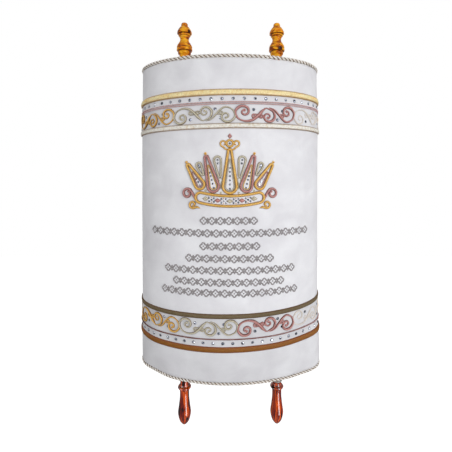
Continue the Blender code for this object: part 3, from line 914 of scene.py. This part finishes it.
# Drops: middle of the round end, radius of the big and the small end, length, lean in degrees, cord, thread
Drop = collections.namedtuple("Drop", "u v big small length lean cord look")
CROWN_DROPS = {
    "crown_point_center": Drop(0.0, 0.0390, 0.0120, 0.0028, 0.0620, 0, GOLD_CORD, "gold_thread"),
    "crown_point_inner": Drop(0.0292, 0.0392, 0.0100, 0.0028, 0.0520, 14, ROSE_CORD, "rose_thread"),
    "crown_point_outer": Drop(0.0535, 0.0422, 0.0085, 0.0026, 0.0400, 33, GOLD_CORD, "gold_thread"),
    "crown_drop_inner": Drop(0.0218, 0.0850, 0.0062, 0.0022, 0.0270, 188, CHAMPAGNE_CORD, "champagne_thread"),
    "crown_drop_outer": Drop(0.0553, 0.0760, 0.0046, 0.0020, 0.0170, 203, CHAMPAGNE_CORD, "champagne_thread"),
}
ORB_V = 0.1141
ORB_RADIUS = 0.0058
TIP_V = 0.1270
TIP_HALF_WIDTH = 0.0040
TIP_HALF_HEIGHT = 0.0050
LOZENGE_COUNT = 5
LOZENGE_PITCH = 0.0215
LOZENGE_HALF_WIDTH = 0.0062
LOZENGE_HALF_HEIGHT = 0.0042
CROWN_STONE = 0.0017


def heading(degrees):
    """Unit direction on the crown, in degrees clockwise from straight up."""
    return np.array((math.sin(math.radians(degrees)), math.cos(math.radians(degrees))))


def arc(middle, radius, start, end):
    steps = max(6, math.ceil(abs(math.radians(end - start)) * radius / CROWN_STEP))
    return [middle + heading(start + (end - start) * step / steps) * radius for step in range(steps + 1)]


def evenly(path, closed=True):
    """The path with even steps along it."""
    path = np.asarray(path)
    if closed:
        path = np.concatenate((path, path[:1]))
    length = lengths_along(path)
    count = max(8, round(length[-1] / CROWN_STEP))
    at = np.linspace(0, length[-1], count, endpoint=not closed)
    return np.stack((np.interp(at, length, path[:, 0]), np.interp(at, length, path[:, 1])), axis=1)


def drop_path(drop, side, shrink=0.0):
    """A closed drop, or a smaller one inside it."""
    big_middle = np.array((drop.u, drop.v))
    big = drop.big - shrink
    small = max(drop.small - shrink * 0.5, 0.0009)
    length = drop.length - shrink * 3.4
    small_middle = big_middle + heading(drop.lean) * length
    spread = math.degrees(math.acos((big - small) / length))
    path = arc(small_middle, small, drop.lean - spread, drop.lean + spread)
    path += arc(big_middle, big, drop.lean + spread, drop.lean + 360 - spread)
    return evenly([(point[0] * side, point[1]) for point in path])


def on_crown(path):
    """Crown places (u, v) as places on the wall (u, below)."""
    path = np.asarray(path)
    return np.stack((path[:, 0], CROWN_FOOT_BELOW - path[:, 1]), axis=1)


def crown_cord(batch, path, width, height=0.62, closed=True):
    path = on_crown(path)
    widths = np.full(len(path), width)
    if not closed:
        share = np.linspace(0, 1, len(path))
        widths = width * np.clip(np.minimum(share, 1 - share) * 7 + 0.25, 0, 1)
    lay_cord(batch, path, widths, widths * height, CROWN_FOOT_BELOW, closed)


def band_path(half_height, half_length):
    """The crown's base: a long rounded band that sags in the middle."""
    u = np.linspace(-half_length, half_length, 60)
    middle = np.stack((u, BAND_MIDDLE_V + u ** 2 / (2 * BAND_BEND_RADIUS)), axis=1)
    lean = np.arcsin(u / BAND_BEND_RADIUS)
    across = np.stack((-np.sin(lean), np.cos(lean)), axis=1)
    end = math.degrees(lean[-1])
    path = list(middle + across * half_height)
    path += arc(middle[-1], half_height, -end, 180 - end)[1:-1]
    path += list((middle - across * half_height)[::-1])
    path += arc(middle[0], half_height, 180 + end, 360 + end)[1:-1]
    return evenly(path)


def band_v(u):
    return BAND_MIDDLE_V + u * u / (2 * BAND_BEND_RADIUS)


def crown_stone(stones, u, v):
    stones.append((u, CROWN_FOOT_BELOW - v, CROWN_FOOT_BELOW))


def crown_knot(batch, u, v, radius, height):
    dome(batch, u, CROWN_FOOT_BELOW - v, CROWN_FOOT_BELOW, radius, height)


PADDING = 1.28
# Inside three of the drops: thread and width of a thinner drop, and its stones at shares of the length
INNER_DROPS = {
    "crown_point_center": ("champagne_thread", 0.0022, (-0.07, 0.05, 0.17, 0.29, 0.41, 0.52)),
    "crown_point_inner": ("gold_thread", 0.0020, (-0.06, 0.08, 0.22, 0.35, 0.47)),
    "crown_point_outer": ("rose_thread", 0.0018, (-0.04, 0.13, 0.29)),
}
PLAIN_DROP_STONES = (0.0, 0.22)
INNER_GAP = 0.0006
TIP_KNOT_REACH = 0.0044
# Groups of five stones between the lozenges: how far out they sit, and how high for that
STONES_ASIDE = 0.0042
STONES_RISE = 0.75
# Radius and height of the knots at the tips of the points, between the lozenges and over the band
TIP_KNOT = (0.0026, 0.0024)
LOZENGE_KNOT = (0.0010, 0.0009)
BAND_KNOT = (0.0021, 0.0020)
# Knots over the band, where they sit to each side
BAND_KNOTS = (0.0157, 0.0430)
BAND_KNOT_GAP = 0.0030


def fill_drop(fine, stones, name, drop, side):
    """A thin inner drop, and a row of stones down the middle of a drop."""
    look, width, shares = INNER_DROPS.get(name, (None, 0.0, PLAIN_DROP_STONES))
    if look:
        shrink = drop.cord * PADDING / 2 + width / 2 + INNER_GAP
        crown_cord(fine[look], drop_path(drop, side, shrink), width)
    for share in shares:
        place = np.array((drop.u, drop.v)) + heading(drop.lean) * drop.length * share
        crown_stone(stones, place[0] * side, place[1])


# Scrolls that are sewn at both sides: tail, middle of the volute, angle where it starts, which way it
# turns, its radii, width and thread
SIDE_SCROLLS = (
    (((0.0152, 0.0330), (0.0156, 0.0420)), (0.0172, 0.0500), 215, -1,
     (0.0040, 0.0038, 0.0032, 0.0020), 0.0022, "champagne_thread"),
    (((0.0625, 0.0150), (0.0655, 0.0240), (0.0700, 0.0310)), (0.0768, 0.0262), 115, -1,
     (0.0084, 0.0078, 0.0066, 0.0052, 0.0036), 0.0050, "rose_thread"),
    (((0.0530, 0.0000), (0.0590, 0.0020)), (0.0665, 0.0062), 250, 1,
     (0.0064, 0.0060, 0.0052, 0.0040, 0.0026), 0.0044, "gold_thread"),
    (((0.0030, 0.1030), (0.0072, 0.1040), (0.0118, 0.1080)), (0.0112, 0.1140), -40, 1,
     (0.0056, 0.0052, 0.0040, 0.0026), 0.0034, "gold_thread"),
)


def crown_piece(node, path, cord, look):
    """A padded cord of the crown that stands for its node."""
    batch = Batch()
    crown_cord(batch, path, cord * PADDING)
    finish_piece(batch.piece(node + "_cord", look), [node])


def fill_band(fine, stones):
    """Lozenges in the crown's band, with stones and small knots between and over them."""
    for number in range(LOZENGE_COUNT):
        u = (number - (LOZENGE_COUNT - 1) / 2) * LOZENGE_PITCH
        look = "rose_thread" if number % 2 else "champagne_thread"
        node = f"crown_lozenge_{number + 1}"
        make_lozenge(node, u, band_v(u), LOZENGE_HALF_WIDTH, LOZENGE_HALF_HEIGHT, look)
        crown_stone(stones, u, band_v(u))
    for number in range(LOZENGE_COUNT - 1):
        u = (number - (LOZENGE_COUNT - 2) / 2) * LOZENGE_PITCH
        for aside in (-STONES_ASIDE, 0.0, STONES_ASIDE):
            rise = abs(aside) * STONES_RISE
            for shift in (rise, -rise) if rise else (0.0,):
                crown_stone(stones, u + aside, band_v(u + aside) + shift)
        for shift in (STONES_ASIDE, -STONES_ASIDE):
            crown_knot(fine["gold_thread"], u, band_v(u) + shift, *LOZENGE_KNOT)
    rise = BAND_HALF_HEIGHT + GOLD_CORD / 2 + BAND_KNOT_GAP
    for u in BAND_KNOTS:
        for side in (-1, 1):
            crown_knot(fine["champagne_thread"], u * side, band_v(u) + rise, *BAND_KNOT)


def make_crown(stones):
    """A jewelled crown of drops and lozenges over a curved band, in padded cord."""
    fine = {look: Batch() for look in ("gold_thread", "rose_thread", "champagne_thread")}
    for name, drop in CROWN_DROPS.items():
        for side, ending in ((-1, "_left"), (1, "_right")) if drop.u else ((1, ""),):
            crown_piece(name + ending, drop_path(drop, side), drop.cord, drop.look)
            fill_drop(fine, stones, name, drop, side)
            if "point" in name and drop.u:
                reach = drop.length + drop.small + TIP_KNOT_REACH
                tip = np.array((drop.u, drop.v)) + heading(drop.lean) * reach
                crown_knot(fine["gold_thread"], tip[0] * side, tip[1], *TIP_KNOT)
    crown_piece("crown_band", band_path(BAND_HALF_HEIGHT, BAND_HALF_LENGTH), GOLD_CORD, "gold_thread")
    orb = evenly(arc(np.array((0.0, ORB_V)), ORB_RADIUS, 0, 360)[:-1])
    crown_piece("crown_orb", orb, CHAMPAGNE_CORD, "gold_thread")
    crown_stone(stones, 0.0, ORB_V)
    make_lozenge("crown_tip", 0.0, TIP_V, TIP_HALF_WIDTH, TIP_HALF_HEIGHT, "rose_thread")
    fill_band(fine, stones)
    for tail, centre, start, turn, radii, width, look in SIDE_SCROLLS:
        control = [*tail, *volute(centre, start, turn, radii)]
        for side in (-1, 1):
            path = smooth_path([(u * side, v) for u, v in control], CROWN_STEP)
            crown_cord(fine[look], path, width, closed=False)
            crown_knot(fine[look], *path[-1], width * 0.45, width * 0.5)
    for look, batch in fine.items():
        finish_piece(batch.piece(f"crown_fine_{look}", look))


LOZENGE_ROWS = 17
LOZENGE_COLUMNS = 7
LOZENGE_RISE = 0.0020
LOZENGE_SINK = 0.0002


def make_lozenge(node, u, v, half_width, half_height, look):
    """A padded satin-stitch lozenge with a ridge across its width."""
    rows = np.linspace(-1, 1, LOZENGE_ROWS)[:, None]
    columns = np.linspace(-1, 1, LOZENGE_COLUMNS)
    place_v = v + rows * half_height * np.ones((1, LOZENGE_COLUMNS))
    place_u = u + columns[None, :] * half_width * (1.02 - np.abs(rows))
    out = LOZENGE_RISE * (1 - np.abs(rows) ** 1.5) * np.cos(columns[None, :] * math.pi / 2) ** 0.6
    angle = angles_along(place_u, CROWN_FOOT_BELOW)
    top = surface(angle, CROWN_FOOT_BELOW - place_v, out + LOZENGE_SINK)
    foot = surface(angle[:, ::-1], CROWN_FOOT_BELOW - place_v, -LOZENGE_SINK)
    batch = Batch()
    uv = ring_uv(np.linspace(0, 2 * half_height, LOZENGE_ROWS),
                 np.concatenate((columns * 0.8, -columns, [-0.8])))
    batch.grid(np.concatenate((top, foot), axis=1), uv, wrap_columns=True)
    ring = 2 * LOZENGE_COLUMNS
    batch.cap(range(ring), True)
    batch.cap(range((LOZENGE_ROWS - 1) * ring, LOZENGE_ROWS * ring))
    finish_piece(batch.piece(node + "_satin", look), [node])


# Rows of grey ornament under the crown: height of the middle, left end, right end
ORNAMENT_ROWS = (
    (0.3020, -0.0465, 0.0430), (0.3240, -0.1520, 0.1520), (0.3470, -0.0470, 0.0475),
    (0.3690, -0.0740, 0.0730), (0.3900, -0.1170, 0.1170), (0.4110, -0.0990, 0.0940),
    (0.4300, -0.1250, 0.1240),
)
ORNAMENT_PITCH = 0.0162
ORNAMENT_SIZE = 0.0062
ORNAMENT_THREAD = 0.0025
ORNAMENT_RISE = 0.55
# Radius, height, sides and rings of the knot in each quatrefoil; size and width of a diamond as shares
ORNAMENT_KNOT = (0.0014, 0.0010, 8, 3)
DIAMOND_SHARE = 0.72
DIAMOND_WIDTH = 0.8


def quatrefoil(size):
    turn = np.linspace(0, math.tau, 40, endpoint=False)
    radius = size * (0.66 + 0.34 * np.abs(np.cos(2 * turn)))
    return np.stack((radius * np.cos(turn), radius * np.sin(turn)), axis=1)


def diamond(size):
    corners = np.array(((0.55, 0), (0, 1), (-0.55, 0), (0, -1))) * size
    return np.concatenate([corners[k] + (corners[(k + 1) % 4] - corners[k]) * np.arange(8)[:, None] / 8
                           for k in range(4)])


def make_ornament_rows():
    """Grey embroidery: rows of quatrefoils and small diamonds in turn."""
    batch = Batch()
    for below, left, right in ORNAMENT_ROWS:
        count = 2 * round((right - left) / ORNAMENT_PITCH) + 1
        for number, u in enumerate(np.linspace(left, right, count)):
            if number % 2 == 0:
                path = quatrefoil(ORNAMENT_SIZE) + np.array((u, below))
                dome(batch, u, below, below, *ORNAMENT_KNOT)
            else:
                path = diamond(ORNAMENT_SIZE * DIAMOND_SHARE) * (DIAMOND_WIDTH, 1.0) + np.array((u, below))
            width = np.full(len(path), ORNAMENT_THREAD)
            lay_cord(batch, path, width, width * ORNAMENT_RISE, below, closed=True)
    finish_piece(batch.piece("grey_ornament_rows", "grey_thread"))


# Turned wood

TURNED_SIDES = 72
PROFILE_STEP = 0.0008
MIN_RADIUS = 0.0002
TURNED_SPREAD = 0.08
TURNED_SHARP_DEG = 55
# How much of a groove's half width is coloured dark brown
DARK_GROOVE_SHARE = 0.9

# Finial: drop below its tip and radius, then the foot measured up from its base
FINIAL_PROFILE = (
    (0.0000, 0.0000), (0.0004, 0.0034), (0.0020, 0.0062), (0.0050, 0.0071), (0.0078, 0.0072),
    (0.0088, 0.0080), (0.0105, 0.0098), (0.0150, 0.0130), (0.0190, 0.0149), (0.0222, 0.0155),
    (0.0241, 0.0153), (0.0246, 0.0130), (0.0254, 0.0126), (0.0262, 0.0131), (0.0282, 0.0127),
    (0.0289, 0.0112), (0.0300, 0.0110), (0.0330, 0.0097), (0.0360, 0.0091), (0.0395, 0.0097),
    (0.0425, 0.0110), (0.0432, 0.0119), (0.0462, 0.0133), (0.0472, 0.0144), (0.0520, 0.0162),
    (0.0560, 0.0165), (0.0606, 0.0163), (0.0614, 0.0139), (0.0627, 0.0134), (0.0650, 0.0137),
    (0.0675, 0.0132), (0.0710, 0.0106),
)
FINIAL_FOOT = ((0.0300, 0.0106), (0.0230, 0.0135), (0.0180, 0.0150), (0.0120, 0.0152), (0.0088, 0.0148),
               (0.0075, 0.0120), (0.0, 0.0120))
# Turned grooves: drop below the tip, depth, half width
FINIAL_GROOVES = ((0.0083, 0.0004, 0.0006), (0.0140, 0.0004, 0.0005), (0.0250, 0.0008, 0.0008),
                  (0.0292, 0.0006, 0.0006), (0.0428, 0.0005, 0.0006), (0.0467, 0.0006, 0.0006),
                  (0.0545, 0.0012, 0.0009), (0.0617, 0.0009, 0.0009))
HANDLE_PROFILE = (
    (0.0000, 0.0000), (0.0003, 0.0016), (0.0013, 0.0036), (0.0048, 0.0068), (0.0100, 0.0101),
    (0.0170, 0.0124), (0.0250, 0.0137), (0.0320, 0.0132), (0.0390, 0.0121), (0.0480, 0.0110),
    (0.0580, 0.0099), (0.0680, 0.0097), (0.0745, 0.0101), (0.0775, 0.0122), (0.0801, 0.0140),
    (0.0825, 0.0128), (0.0870, 0.0093),
)
HANDLE_GROOVES = ((0.0757, 0.0007, 0.0008), (0.0838, 0.0005, 0.0007))


def turned(part, label, profile, look, grooves=(), groove_from=0.0, groove_sign=1, flutes=0):
    """A part of a roller turned from (z, radius) rows, from the top down; it is smooth where it has
    grooves. The grooves are measured from a height, down for sign -1 and up for 1."""
    rows = smooth_path(profile, PROFILE_STEP) if grooves else np.array(profile)
    z, radius = rows[:, 0], np.maximum(rows[:, 1], 0.0)
    darkened = np.zeros(len(z), dtype=bool)
    for place, depth, reach in grooves:
        away = np.abs(z - (groove_from + groove_sign * place)) / reach
        radius = radius - depth * np.exp(-away ** 2)
        darkened |= away < DARK_GROOVE_SHARE
    radius = np.maximum(radius, MIN_RADIUS)
    theta = np.linspace(0, math.tau, TURNED_SIDES, endpoint=False)
    points = np.stack(np.broadcast_arrays(radius[:, None] * np.cos(theta), radius[:, None] * np.sin(theta),
                                          z[:, None]), axis=-1).copy()
    if flutes:
        dip = FLUTE_DEPTH * (1 + np.sin(flutes * theta)) / 2
        points[..., :2] *= (1 - dip[None, :] / np.maximum(radius, 0.002)[:, None])[..., None]
    points[..., 0] += roller_centre(label)
    batch = Batch()
    uv = ring_uv(z, np.linspace(0, TURNED_SPREAD, TURNED_SIDES + 1))
    batch.grid(points, uv, wrap_columns=True)
    batch.cap(range(TURNED_SIDES), True)
    batch.cap(range((len(z) - 1) * TURNED_SIDES, len(z) * TURNED_SIDES))
    node = f"{part}_{label}"
    piece = batch.piece(node + ("_fluted" if flutes else "_turned"), look)
    piece.data.set_sharp_from_angle(angle=math.radians(TURNED_SHARP_DEG))
    # The rows in the grooves take the dark brown look
    if darkened.any():
        piece.data.materials.append(LOOKS["dark_groove_line"])
        rows_darkened = np.repeat((darkened[:-1] & darkened[1:]).astype(np.int32), TURNED_SIDES)
        piece.data.polygons.foreach_set("material_index", np.append(rows_darkened, (0, 0)))
    finish_piece(piece, [node])


def ring_profile(low_z, high_z, radius, edge):
    """A plain disc or hub with rounded edges, top first."""
    return ((high_z, radius - edge), (high_z - edge * 0.3, radius - edge * 0.3), (high_z - edge, radius),
            (low_z + edge, radius), (low_z + edge * 0.3, radius - edge * 0.3), (low_z, radius - edge))


HUB_FLUTES = 12
FLUTE_DEPTH = 0.0008
HUB_TAPER = 0.014
HUB_FOOT_RADIUS = 0.0096
HUB_EDGE = 0.0015
HUB_FOOT_EDGE = 0.0006
HUB_BEND = 0.002


def make_hub(label):
    """The fluted grey hub under the lower disc, tapered to its foot."""
    low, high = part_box(f"hub_{label}")
    radius = (high[0] - low[0]) / 2
    bend = low[2] + HUB_TAPER
    profile = ((high[2], radius - HUB_EDGE), (high[2] - HUB_EDGE, radius), (bend + HUB_BEND, radius),
               (bend, radius - 0.0006), (bend - HUB_BEND, radius - 0.0022),
               (low[2] + 0.001, HUB_FOOT_RADIUS + HUB_FOOT_EDGE), (low[2], HUB_FOOT_RADIUS - HUB_FOOT_EDGE))
    turned("hub", label, profile, "grey_hub", flutes=HUB_FLUTES)


# Plain parts of a roller and how much their edges are rounded
PLAIN_PARTS = {"upper_disc": 0.0025, "lower_disc": 0.0025, "pole": 0.0006}


def make_roller(label):
    """Finial, handle, hub, discs and pole of one roller, each in its node's place."""
    low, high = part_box(f"finial_{label}")
    profile = [(high[2] - drop, radius) for drop, radius in FINIAL_PROFILE]
    profile += [(low[2] + rise, radius) for rise, radius in FINIAL_FOOT]
    turned("finial", label, profile, "honey_wood", FINIAL_GROOVES, high[2], -1)
    low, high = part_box(f"handle_{label}")
    profile = [(high[2], HANDLE_PROFILE[-1][1])]
    profile += [(low[2] + rise, radius) for rise, radius in reversed(HANDLE_PROFILE)]
    turned("handle", label, profile, "red_wood", HANDLE_GROOVES, low[2])
    make_hub(label)
    for part, edge in PLAIN_PARTS.items():
        low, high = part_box(f"{part}_{label}")
        turned(part, label, ring_profile(low[2], high[2], (high[0] - low[0]) / 2, edge), "plain_wood")


# Scene

def make_camera():
    """The photograph's camera: level, in front, with its frame shifted to the photo's centre."""
    data = bpy.data.cameras.new("camera")
    data.sensor_width = SENSOR
    data.lens = FOCAL_PX / PHOTO_SIZE * SENSOR
    data.shift_x = (PHOTO_SIZE / 2 - CENTRE_PX[0]) / PHOTO_SIZE
    data.shift_y = (CENTRE_PX[1] - PHOTO_SIZE / 2) / PHOTO_SIZE
    data.clip_start = 0.02
    camera = placed("camera", data)
    camera.location = (0.0, -CAMERA_DISTANCE, TOP_Z - CAMERA_BELOW_TOP)
    camera.rotation_euler = (math.pi / 2, 0.0, 0.0)
    bpy.context.scene.camera = camera


FLOOR_DROP = 1.70
FLOOR_HALF = 8.0
AMBIENT = 0.53
AMBIENT_BELOW = 0.30
# Area lights: place, the point each one faces, width and height, power in watts
MIDDLE = (0.0, 0.0, -0.28)
LIGHTS = {
    "key_right": ((1.25, -1.60, -0.45), MIDDLE, (0.7, 3.2), 33),
    "top": ((0.20, -0.9, 1.50), MIDDLE, (1.4, 0.7), 2),
    "fill_left": ((-1.05, -0.80, -0.40), (-0.1, 0.0, -0.35), (0.5, 0.7), 3.6),
    "back": ((-0.30, 1.70, -0.10), MIDDLE, (1.2, 1.2), 9),
}


def add_light(name, place, aim, size, power):
    data = bpy.data.lights.new(name, "AREA")
    data.shape = "RECTANGLE"
    data.size, data.size_y = size
    data.energy = power
    light = placed(name, data)
    light.location = place
    light.rotation_euler = (Vector(aim) - Vector(place)).to_track_quat("-Z", "Y").to_euler()


def make_floor():
    """Pale floor far below the held mantle."""
    floor_z = cad_low[2] - FLOOR_DROP
    corners = [(x * FLOOR_HALF, y * FLOOR_HALF, floor_z) for x, y in ((-1, -1), (1, -1), (1, 1), (-1, 1))]
    add_piece("pale_floor", corners, [(0, 1, 2, 3)], None, "floor", smooth=False)


def make_world():
    """Soft light from all round, weaker from below, with a white backdrop."""
    world = bpy.data.worlds.new("studio")
    world.use_nodes = True
    nodes = Nodes(world.node_tree)
    ambient = nodes.tree.nodes["Background"]
    ambient.inputs["Strength"].default_value = AMBIENT
    direction = nodes.node("ShaderNodeTexCoord")
    lift = nodes.node("ShaderNodeMath", operation="MULTIPLY_ADD")
    lift.inputs[1].default_value = 0.5
    lift.inputs[2].default_value = 0.5
    nodes.link(nodes.split(direction.outputs["Generated"])["Z"], lift.inputs[0])
    white = (1.0, 1.0, 1.0, 1.0)
    below = (AMBIENT_BELOW, AMBIENT_BELOW, AMBIENT_BELOW, 1.0)
    nodes.link(nodes.ramp(lift.outputs[0], ((0.2, below), (0.6, white))), ambient.inputs["Color"])
    backdrop = nodes.node("ShaderNodeBackground", Color=white)
    seen = nodes.node("ShaderNodeLightPath")
    choice = nodes.node("ShaderNodeMixShader")
    nodes.link(seen.outputs["Is Camera Ray"], choice.inputs[0])
    nodes.link(ambient.outputs[0], choice.inputs[1])
    nodes.link(backdrop.outputs[0], choice.inputs[2])
    nodes.link(choice.outputs[0], nodes.tree.nodes["World Output"].inputs["Surface"])
    bpy.context.scene.world = world


def make_stage():
    make_floor()
    make_world()
    for name, values in LIGHTS.items():
        add_light(name, *values)
    bpy.context.scene.view_settings.view_transform = "Standard"


ROW_STONE_RADIUS = 0.0026
# Rows of stones: height, pitch, where the stone nearest to the middle is
STONE_ROWS = ((0.0855, 0.0199, 0.0059), (0.5208, 0.0178, 0.0052))
GROUP_STONE_RADIUS = 0.0025


def main():
    make_camera()
    wall = make_wall()
    top = make_top_panel()
    make_rope("top_rope", TOP_ROPE_RADIUS, TOP_ROPE_LAY, WALL_TOP, TOP_Z - TOP_ROPE_RADIUS)
    make_rope("hem_rope", HEM_ROPE_RADIUS, HEM_ROPE_LAY, WALL_FOOT, TOP_Z - MANTLE_HEIGHT + HEM_ROPE_RADIUS)
    for node, braid in BRAIDS.items():
        make_braid(node, **braid)
    make_rose_cord("upper_rose_cords", "upper_rose_cord", (0.0919, 0.0951), "rose_cord")
    make_rose_cord("lower_rose_cords", "lower_rose_cord", (0.5128,), "rose_thread")
    group_stones = []
    scrolls = {look: Batch() for look in CORD_WEIGHTS}
    for band in SCROLL_BANDS:
        for number in range(-(GROUP_COUNT // 2), GROUP_COUNT // 2 + 1):
            look = GROUP_COLOURS[number]
            lay_group(scrolls[look], group_stones, band, number, CORD_WEIGHTS[look])
    for look, batch in scrolls.items():
        finish_piece(batch.piece(f"scrollwork_{look}", look))
    row_stones = []
    for below, pitch, first in STONE_ROWS:
        length = perimeter(below)
        count = round(length / pitch)
        row_stones += [(first + number / count * length, below, below) for number in range(count)]
    crown_stones = []
    make_crown(crown_stones)
    for name, stones, radius in (("row_stones", row_stones, ROW_STONE_RADIUS),
                                 ("scroll_stones", group_stones, GROUP_STONE_RADIUS),
                                 ("crown_stones", crown_stones, CROWN_STONE)):
        make_stones(name, stones, radius)
    make_ornament_rows()
    for label in ("left", "right"):
        make_roller(label)
    make_stage()


main()
